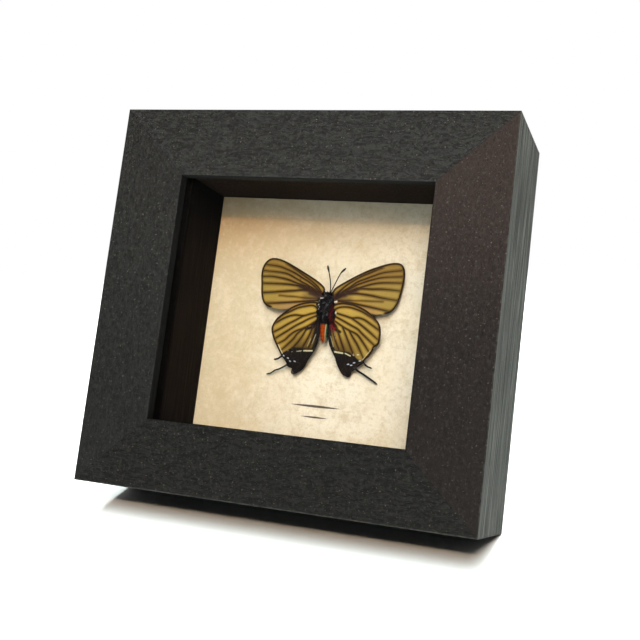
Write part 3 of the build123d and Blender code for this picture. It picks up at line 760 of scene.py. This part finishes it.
class Bundle:
    """Gathers tubes, turned bodies and hairs into one piece."""

    def __init__(self):
        self.points, self.faces, self.picks = [], [], []

    def add(self, points, faces, pick=0):
        start = len(self.points)
        self.points += [tuple(p) for p in points]
        self.faces += [tuple(start + i for i in face) for face in faces]
        self.picks += [pick] * len(faces)

    def piece(self, name, materials, attributes=None):
        """The gathered mesh as a piece. Its points are in the case's frame, in millimetres."""
        mesh = bpy.data.meshes.new(name)
        mesh.from_pydata([in_case(*p) for p in self.points], [], self.faces)
        for material in materials:
            mesh.materials.append(material)
        mesh.polygons.foreach_set("material_index", self.picks)
        for key, values in (attributes or {}).items():
            layer = mesh.attributes.new(key, "FLOAT", "POINT")
            layer.data.foreach_set("value", np.asarray(values, np.float32))
        mesh.polygons.foreach_set("use_smooth", [True] * len(mesh.polygons))
        mesh.validate()
        return put(name, mesh)


def wing_depth(flat, lead):
    """The depth of a wing's face: it droops towards the card with its distance from the thorax."""
    away = np.square(flat[:, 0]) + 0.6 * np.square(flat[:, 1] - 3.0)
    return BODY_Y - lead + DROOP_RADIUS - np.sqrt(DROOP_RADIUS**2 - away)


def slid(x, depth, z):
    """Places read from the photograph at the body's depth, slid along the view onto their own."""
    share = (depth - BODY_Y) / (BODY_Y - CAMERA_PLACE[1])
    return np.stack([x + (x - CAMERA_PLACE[0]) * share, depth, z + (z - CAMERA_PLACE[2]) * share], 1)


def make_wing(side, wing, lead, curl, marks):
    """A wing membrane with its veins and rim in relief, and the attributes for its material."""
    rays, rings = WING_RAYS, WING_RINGS
    rim = flowing(wing["outline"], rays)[:, :2]
    base = np.linspace(*wing["root"], rays)
    share = (np.linspace(0, 1, rings) ** 0.9)[:, None, None]
    flat = (base[None] * (1 - share) + rim[None] * share).reshape(-1, 2)
    veins = [flowing(v, 40)[:, :2] for v in wing["veins"]]
    faint = [flowing(v, 24)[:, :2] for v in wing.get("faint", ())]
    vein = np.min([distance_to(flat, line) for line in veins], 0)
    faded = np.min([distance_to(flat, line) for line in faint or veins], 0)
    outer = rim[: int(rays * wing["dark_rim"])]
    attributes = {
        "root": np.linalg.norm(flat - np.mean(wing["root"], 0), axis=1) / WING_REACH,
        "vein": np.minimum(vein, faded + 0.16),
        "margin": distance_to(flat, outer),
    }
    # The material reads a mark that isn't given as 0
    attributes.update(marks(flat, wing))
    # The membrane swells a little between its veins
    swell = MEMBRANE_SWELL * np.sin(slope(vein, 0, 1.1) * math.pi / 2)
    spread = SIDES[side]

    def laid(points, lift=0.0):
        depth = wing_depth(points, lead) + curl(points) - lift
        return slid(BODY_X + points[:, 0] * spread, depth, points[:, 1])

    front = laid(flat, swell)
    rear = front + np.array((0, WING_THICKNESS, 0))
    count = rays * rings
    # The left wing is mirrored, so its faces run the other way round
    faces = []
    for j in range(rings - 1):
        for i in range(rays - 1):
            a = j * rays + i
            quad = (a, a + 1, a + rays + 1, a + rays)
            faces.append(quad[::-spread])
            faces.append(tuple(count + v for v in quad[::spread]))
    border = [j * rays for j in range(rings)] + [(rings - 1) * rays + i for i in range(1, rays)]
    border += [j * rays + rays - 1 for j in range(rings - 2, -1, -1)] + list(range(rays - 2, 0, -1))
    for a, b in zip(border, border[1:] + border[:1]):
        faces.append((a, b, b + count, a + count)[::spread])
    bundle = Bundle()
    bundle.add(np.concatenate([front, rear]), faces)
    for lines, radii in ((veins, VEIN_RADII), (faint, FAINT_RADII)):
        for line in lines:
            bundle.add(*tube(laid(line, 0.02), np.linspace(*radii, len(line)), 6, 0.7), pick=1)
    bundle.add(*tube(laid(outer, -0.05), np.linspace(*RIM_RADII, len(outer)), 6, 0.8), pick=1)
    for *points, radius in wing.get("tails", ()):
        path = laid(flowing(points, 26)[:, :2], 0.05)
        taper = radius * (1.5 - 0.4 * np.linspace(0, 1, len(path)))
        taper[-4:] *= (1.1, 1.05, 0.8, 0.4)
        bundle.add(*tube(path, taper, 7, 0.6), pick=2)
    extra = len(bundle.points) - 2 * count
    attributes = {k: np.concatenate([v, v, np.zeros(extra)]) for k, v in attributes.items()}
    return bundle, attributes


def nearness(points, start, end, radius, soft):
    """1 within a radius of a short line, fading to 0 over a soft edge."""
    gap = distance_to(points, np.array((start, end), float))
    return slope(gap, radius + soft, radius)


def slope(value, start, end):
    """0 where value is at start, 1 at end, and straight between them."""
    return np.clip((value - start) / (end - start), 0, 1)


def largest(*fields):
    """The largest of the fields at each point."""
    return np.max(fields, 0)


def forewing_marks(flat, _wing):
    """The smoky wedge at the root, a pinkish rear edge and a browner tip."""
    x, z = flat[:, 0], flat[:, 1]
    smoke = largest(
        nearness(flat, (1.5, 6.2), (5.4, 7.4), 0.5, 1.6),
        nearness(flat, (5.0, 7.4), (8.8, 8.9), 0.15, 1.4),
        0.6 * nearness(flat, (2.0, 5.6), (7.0, 5.9), 0.1, 1.8),
    )
    pink = 0.8 * slope(z, 5.2, 2.6) * slope(x, 18, 12)
    return {"smoke": smoke, "pink": pink, "apex": slope(z, 9.5, 17.5) * slope(x, 6, 14)}


def hindwing_marks(flat, wing):
    """The black lobe with its pale bars and blue spots, and the black inner edge and root."""
    x, z = flat[:, 0], flat[:, 1]
    ceiling = wing["lobe_top"] + np.clip(6.5 - np.abs(x - 5.5), 0, 3) * 0.35
    ceiling = np.where(x > 9, ceiling - (x - 9) * 0.3, ceiling)
    inner_edge = np.array([p for p in wing["outline"][-8:] if p[0] < 4.5], float)
    black = largest(
        slope(ceiling - z, -0.9, 0.9),
        slope(distance_to(flat, inner_edge), 1.6, 0.7),
        nearness(flat, (1.2, 1.0), (1.4, -3.0), 0.9, 0.8),
        nearness(flat, (1.2, -1.0), (3.2, -2.6), 0.2, 1.4),
        nearness(flat, (2.6, -2.8), (5.4, -3.9), -0.3, 1.5),
        nearness(flat, (2.0, -3.0), (3.2, -7.8), -0.2, 1.1),
    )
    pale = largest(*(share * nearness(flat, *bar, 0.24) for *bar, share in wing["bars"]))
    blue = largest(*(nearness(flat, (x, z), (x + 0.45, z + 0.12), 0.02, 0.26)
                     for x, z in wing["spots"]))
    red = nearness(flat, (2.2, 0.6), (3.1, -3.2), 0.45, 0.6) * wing["red"]
    # Brown haze gathers towards the lobe and along the inner edge
    haze = largest(
        slope(z, -3.5, -9.5) * slope(x, 13.5, 7.5),
        slope(z, -0.5, -2.5) * slope(x, 5.4, 2.8) * 0.95,
        slope(z, -7.6, -10.2) * slope(x, 10, 6),
    )
    return {"haze": haze, "black": black, "pale": pale, "blue": blue, "red": red}


def forewing_curl(flat):
    return 0.18 * np.sin(flat[:, 0] * 0.28 + 0.6) * slope(flat[:, 0], 0, 12)


def hindwing_curl(flat):
    """A slight wave. The lobe bends towards the card, and the inner edge folds back by the body."""
    inner = slope(flat[:, 0], 2.4, 1.2)
    lobe = slope(flat[:, 1], -4, -17)
    return 0.14 * np.sin(flat[:, 0] * 0.35) + 0.4 * inner**2 + 1.8 * lobe**1.5


def stand_in(piece, node):
    """Makes a piece ride on the case in the place of a CAD node."""
    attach(piece, "case")
    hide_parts(node)


def build_wings():
    fore = wing_material("forewing_scales", (109, 91, 38), (134, 112, 46), (122, 103, 48))
    hind = wing_material("hindwing_scales", (130, 107, 42), (156, 131, 52), (145, 123, 54))
    veins = vein_material()
    black = black_material()
    kinds = (
        ("forewing_", FOREWINGS, 0.0, forewing_curl, forewing_marks, (fore, veins)),
        ("hindwing_", HINDWINGS, HINDWING_LEAD, hindwing_curl, hindwing_marks, (hind, veins, black)),
    )
    for side in SIDES:
        for kind, wings, lead, curl, marks, materials in kinds:
            bundle, attributes = make_wing(side, wings[side], lead, curl, marks)
            piece = bundle.piece("scaled_" + kind + side, materials, attributes)
            stand_in(piece, kind + side)


def turned(profile, centre, squeeze=1.0):
    """A closed body turned about the case's Z axis, from (radius, height) points going up."""
    points = []
    for radius, height, _ in flowing(profile, TURNED_STEPS):
        for k in range(TURNED_SEGMENTS):
            turn = 2 * math.pi * k / TURNED_SEGMENTS
            points.append((centre[0] + radius * math.cos(turn),
                           centre[1] + radius * math.sin(turn) * squeeze, centre[2] + height))
    return points, ring_faces(TURNED_STEPS, TURNED_SEGMENTS)


def hairs(bundle, rng, count, place, length, radius, pick=0, sweep=(0, 0, -1), spread=0.5):
    """Tapered hairs. place gives a root point and the direction that its surface faces."""
    for _ in range(count):
        root, outward = place(rng)
        lean = Vector([rng.uniform(-spread, spread) for _ in range(3)])
        way = (outward + Vector(sweep) * 0.7 + lean).normalized()
        size = length * rng.uniform(0.5, 1.15)
        side = way.orthogonal().normalized()
        other = way.cross(side)
        base = [root - outward * 0.1 + (side * math.cos(a) + other * math.sin(a)) * radius
                for a in HAIR_CORNERS]
        points = base + [root + way * size]
        bundle.add(points, [(0, 2, 1), (0, 1, 3), (1, 2, 3), (2, 0, 3)], pick)


def at_body(x, depth, z):
    """A place beside the body's axis, in the case's frame."""
    return Vector((BODY_X + x, BODY_Y + depth, z))


def dome(top, share, least):
    """How far a round back stands out: top in its middle, where share is 0, and less around it."""
    return top * math.sqrt(max(least, 1 - share))


def around(radius_at, low, high, shift=0.0):
    """Picks places on the side of a turned body that faces the glass."""

    def place(rng):
        height = rng.uniform(low, high)
        turn = rng.uniform(math.radians(185), math.radians(355))
        radius = radius_at(height)
        outward = Vector((math.cos(turn), math.sin(turn), 0))
        return at_body(shift + radius * outward.x, radius * outward.y, height), outward

    return place


def build_body():
    rng = random.Random(HAIR_SEED)
    black = black_material()
    white = tint_material("insect_white", 4.0, (0.3, (160, 164, 172)), (0.7, (232, 234, 234)))
    grey = tint_material("insect_grey", 4.0, (0.3, (26, 27, 32)), (0.7, (96, 98, 106)))
    crimson = tint_material("insect_red", 4.0, (0.3, (44, 5, 10)), (0.7, (112, 16, 27)))

    def thorax_radius(z):
        return dome(2.2, ((z - 2.8) / 5.2) ** 2, 0.05)

    thorax = Bundle()
    profile = [(0.9, -2.2), (1.6, -1.2), (2.15, 0.8), (2.3, 3.0), (1.95, 5.2), (1.3, 6.6), (0.7, 7.2)]
    thorax.add(*turned(profile, at_body(0.35, 0, 0)))
    hairs(thorax, rng, 1100, around(thorax_radius, -1.9, 6.9, 0.35), 1.0, 0.05)
    # The wing roots bulge at the sides
    for x, z, radius, height in ((-1.2, 2.8, 1.15, 3.0), (1.8, 4.0, 1.05, 2.4), (2.5, 0.6, 1.1, 2.6)):
        bulge = [(0.05, -height), (radius * 0.8, -height * 0.5), (radius, 0),
                 (radius * 0.75, height * 0.55), (0.05, height)]
        thorax.add(*turned(bulge, at_body(x, -0.6, z)))

    def breast_place(r):
        z = r.uniform(-1.6, 5.8)
        x = r.uniform(-2.2, 3.3)
        depth = -dome(2.0, (x - 0.3) ** 2 / 12, 0.05)
        return at_body(x, depth, z), Vector((x * 0.4, -1, 0)).normalized()

    hairs(thorax, rng, 700, breast_place, 0.8, 0.05)

    def red_place(r):
        z = r.triangular(-3.0, 4.2, -0.6)
        x = 2.55 + max(0.0, -z) * 0.45 + r.triangular(-0.65, 0.65, 0)
        depth = -0.75 if z < -1.2 else -dome(2.5, (x - 0.3) ** 2 / 12, 0.12)
        return at_body(x, depth, z), Vector((0.3, -1, 0)).normalized()

    hairs(thorax, rng, 700, red_place, 0.75, 0.06, 2)
    # Three pairs of legs, folded against the breast
    for side in SIDES.values():
        for height, reach, drop in ((6.0, 1.7, 2.2), (4.2, 2.1, 3.2), (2.0, 1.9, 3.4)):
            leg = ((side * 0.4, -2.4, height), (side * reach, -2.6, height - 0.7),
                   (side * 0.7, -3.0, height - drop * 0.7), (side * 1.0, -2.8, height - drop))
            line = flowing(leg, 20) + np.array(at_body(0, 0, 0))
            thorax.add(*tube(line, np.linspace(*LEG_RADII, len(line)), 7))
    for tufts, pick in ((WHITE_TUFTS, 1), (GREY_TUFTS, 3)):
        for x, z, wide, high in tufts:
            depth = -dome(2.9, x**2 / 13, 0.12)
            middle = Vector(slid(*np.array(at_body(x, depth, z))[:, None])[0])

            def tuft_place(r):
                spot = middle + Vector((r.uniform(-wide, wide), 0, r.uniform(-high, high)))
                return spot, Vector((wide, -0.2, high)).normalized()

            hairs(thorax, rng, 10, tuft_place, 0.7, 0.17, pick, sweep=(0, -0.3, 0), spread=0.35)
    stand_in(thorax.piece("furred_thorax", (black, white, crimson, grey)), "thorax")

    abdomen = Bundle()
    profile = [(0.08, -7.75), (0.42, -7.2)]
    for k in range(ABDOMEN_RINGS):
        z = -6.6 + k * 0.9
        swell = 0.75 + 0.7 * math.sin(math.pi * (k + 0.6) / (ABDOMEN_RINGS + 3.0))
        profile += [(swell, z), (swell * 0.95, z + 0.45)]
    abdomen.add(*turned(profile, at_body(BODY_LEAN, -0.1, 0), squeeze=0.95))
    abdomen_side = around(lambda z: 1.2 - max(0, -4.5 - z) * 0.3, -6.8, -2.2, BODY_LEAN)
    hairs(abdomen, rng, 260, abdomen_side, 0.3, 0.035, spread=0.35)
    stand_in(abdomen.piece("scaled_abdomen", (abdomen_material(),)), "abdomen")

    head = Bundle()
    skull = [(0.55, -0.2), (1.05, 0.3), (1.15, 0.8), (0.85, 1.3), (0.3, 1.55)]
    head.add(*turned(skull, at_body(0, 0, NECK)))
    for side in SIDES.values():
        eye = [(0.05, -0.72), (0.5, -0.52), (0.72, 0.0), (0.5, 0.52), (0.05, 0.72)]
        head.add(*turned(eye, at_body(side * 0.95, -0.35, NECK + 0.8)), pick=1)
        palp = ((side * 0.25, -1.2, 0.6), (side * 0.4, -1.5, 1.1), (side * 0.45, -1.4, 1.6))
        palp = flowing(palp, 10) + np.array(at_body(0, 0, NECK))
        head.add(*tube(palp, np.linspace(0.22, 0.08, len(palp)), 7))
    skull_side = around(lambda z: 1.0, NECK + 0.1, NECK + 1.1)
    hairs(head, rng, 160, skull_side, 0.35, 0.035, sweep=(0, 0, 0.6))
    eye_black = tint_material("insect_eye", 9.0, (0.3, (10, 8, 8)), (0.7, (38, 26, 24)), rough=0.2)
    stand_in(head.piece("furred_head", (black, eye_black)), "head")

    feelers = Bundle()
    for points in ANTENNAE:
        line = flowing(points, 40)[:, :2]
        path = np.stack([BODY_X + line[:, 0], np.full(len(line), BODY_Y - 0.2), line[:, 1]], 1)
        share = np.linspace(0, 1, len(path))
        radii = 0.17 + 0.17 * np.clip((share - 0.72) / 0.16, 0, 1) ** 1.5
        radii *= 1 + 0.12 * np.sin(share * 130)
        radii[-3:] *= (0.9, 0.7, 0.4)
        feelers.add(*tube(path, radii, 8))
    antenna_black = tint_material("insect_antenna", 6.0, (0.3, (8, 6, 5)), (0.7, (40, 28, 20)))
    stand_in(feelers.piece("jointed_antennae", (antenna_black,)), "antennae")


# ---- Finish of the CAD nodes


def paint_nodes():
    finishes = {
        # The rails and stiles are one wood: the bottom rail and left stile are toned darker as
        # painted shade, and the right stile warmer, with more painted sheen at its top, as a painted
        # reflection
        "rail_top": stained_wood("wood_rail_top", 0, (41, 41, 39), (50, 50, 48)),
        "rail_bottom": stained_wood("wood_rail_bottom", 0, (31, 30, 28), (39, 38, 35),
                                    sawn_sheen_share=0.0, painted_base_shade=0.2, gloss=0.13),
        "stile_left": stained_wood("wood_stile_left", 2, (36, 36, 34), (42, 42, 40), ripples=0.6),
        "stile_right": stained_wood("wood_stile_right", 2, (35, 26, 23), (42, 34, 30),
                                    ripples=0.35, painted_top=0.3),
        "glass_pane": glass_material(),
        "mount_card": card_material(),
        "foam_board": cell_material("foam_core", 2.4, (198, 196, 188), (232, 231, 226), 0.6, 0.9,
                                    0.1),
        "specimen_riser": cell_material("cork", 1.8, (70, 46, 28), (140, 100, 64), 0.5, 0.85, 0.12),
        "back_panel": board_material("panel_board", (58, 38, 24), (98, 68, 44), (136, 100, 70)),
        "easel_strut": board_material("strut_board", (18, 17, 16), (34, 32, 30), (62, 58, 54)),
        "wall_bumpers": felt_material(),
        # The spacers are one stock: the top strip is toned lighter than the others as painted light
        "spacer_top": liner_material("liner_stain_top", (26, 20, 16), (46, 37, 31), (62, 51, 43)),
        "corner_v_nails": steel_material("dull_steel", (116, 117, 118), (82, 82, 80)),
    }
    # The other strips, toned darker than the top one as painted shade, also darken to their tops as
    # painted shade
    liner = liner_material("liner_stain", (15, 11, 9), (29, 23, 19), (44, 35, 29), painted_top=0.7)
    zinc = steel_material("zinc_steel", (186, 188, 190), (146, 145, 142))
    brass = steel_material("brassed_steel", (190, 160, 104), (146, 116, 70))
    finishes.update(sawtooth_hanger=brass, hanger_nails=brass)
    for name, node in frame["nodes"].items():
        finish = finishes.get(name, liner if name.startswith("spacer") else zinc)
        node.data.materials.clear()
        node.data.materials.append(finish)


# ---- Stage, lamps and camera


def floor_material():
    """White, and lifted where the camera sees it, so that it runs into the background."""
    p = Paint("floor_white")
    spot = p.node("TexCoord").outputs["Object"]
    grain = p.noise(spot, 40.0)
    tone = p.mix(grain, FLOOR_TONE + (1,), tuple(c * 0.98 for c in FLOOR_TONE) + (1,))
    plain = p.node("BsdfDiffuse", {"Color": tone})
    lifted = p.node("BsdfDiffuse", {"Color": (FLOOR_LIFT,) * 3 + (1,)})
    away = p.node("VectorMath", {0: spot}, operation="LENGTH").outputs["Value"]
    clear = p.node("BsdfTransparent")
    far = p.fade(away, *FLOOR_FADE)
    return p.output(p.either(p.seen(), plain, p.either(far, lifted, clear)))


def build_floor():
    reach = 4.0
    corners = [(-reach, -reach, 0), (reach, -reach, 0), (reach, reach, 0), (-reach, reach, 0)]
    mesh = bpy.data.meshes.new("floor")
    mesh.from_pydata(corners, [], [(0, 1, 2, 3)])
    mesh.materials.append(floor_material())
    floor = put("floor", mesh)
    return floor


def add_lamp(name, share, rise, turn, distance, size, colour):
    """An area lamp that faces the middle of the case's front."""
    target = in_case(0, 0, 0)
    rise, turn = math.radians(rise), math.radians(turn)
    flat = math.cos(rise)
    away = Vector((math.sin(turn) * flat, -math.cos(turn) * flat, math.sin(rise)))
    light = bpy.data.lights.new(name, "AREA")
    light.shape = "ELLIPSE"
    light.size, light.size_y = size
    light.energy = share * math.pi**2 * distance**2
    light.color = colour
    lamp = put(name, light)
    lamp.location = target + away * distance
    lamp.rotation_euler = (-away).to_track_quat("-Z", "Y").to_euler()
    return lamp


def build_light(floor):
    add_lamp("key", **KEY)
    add_lamp("fill", **FILL)
    # Only the floor takes these two, so that it turns white without more light on the object
    takers = bpy.data.collections.new("floor_only")
    takers.objects.link(floor)
    for name, lamp in (("floor_fill", FLOOR_FILL), ("floor_back", FLOOR_BACK)):
        add_lamp(name, **lamp).light_linking.receiver_collection = takers
    world = bpy.data.worlds.new("studio")
    bpy.context.scene.world = world
    p = Paint("studio", world)
    ahead = p.split(p.node("TexCoord").outputs["Generated"])[1]
    behind_case = p.fade(ahead, 0.0, 0.5)
    tone = p.mix(behind_case, ROOM_TONE + (1,), BACKDROP_TONE + (1,))
    lighting = p.node("Background", {"Color": tone})
    white = p.node("Background", {"Color": (1, 1, 1, 1)})
    p.output(p.either(p.seen(behind_case), lighting, white), "OutputWorld")


def build_camera():
    right, look = Vector(CAMERA_RIGHT), Vector(CAMERA_LOOK)
    up = right.cross(look).normalized()
    turn = Matrix((right.normalized(), up, -look.normalized())).transposed().to_4x4()
    camera = put("camera", bpy.data.cameras.new("camera"))
    camera.data.lens = CAMERA_LENS
    camera.data.sensor_width = SENSOR_WIDTH
    camera.data.clip_start = 0.01
    turn.translation = Vector(CAMERA_PLACE) * MM
    camera.matrix_world = CASE @ turn
    bpy.context.scene.camera = camera


build_camera()
build_light(build_floor())
paint_nodes()
build_wings()
build_body()

bpy.context.scene.view_settings.view_transform = "Standard"
